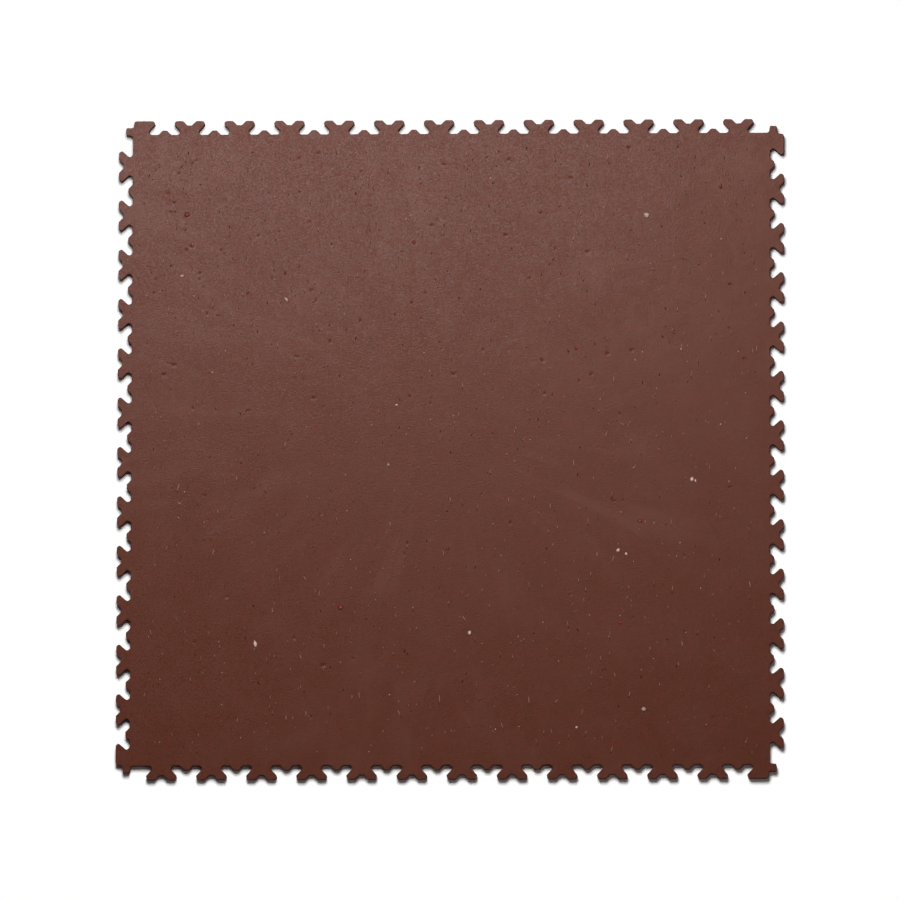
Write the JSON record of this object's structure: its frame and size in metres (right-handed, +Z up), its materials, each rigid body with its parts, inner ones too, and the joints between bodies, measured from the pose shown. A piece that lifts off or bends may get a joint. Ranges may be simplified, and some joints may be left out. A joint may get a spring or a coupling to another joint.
{
  "type": "interlocking floor tile",
  "caption": "Square floor tile moulded in reddish-brown reclaimed PVC, with notched dovetail teeth on all sides that lock into the next tile.",
  "frame": {"origin": "middle of the flat underside, which lies on the floor", "axes": "+Z up out of the walking face; X and Y along the sides, with +Y away from the viewer"},
  "size_m": [0.5106, 0.5106, 0.007],
  "materials": {
    "reclaimed_pvc": "satin, fine grained, with small flecks of other colours"
  },
  "bodies": {
    "root": {"floor_tile": "reclaimed_pvc"}
  },
  "joints": []
}
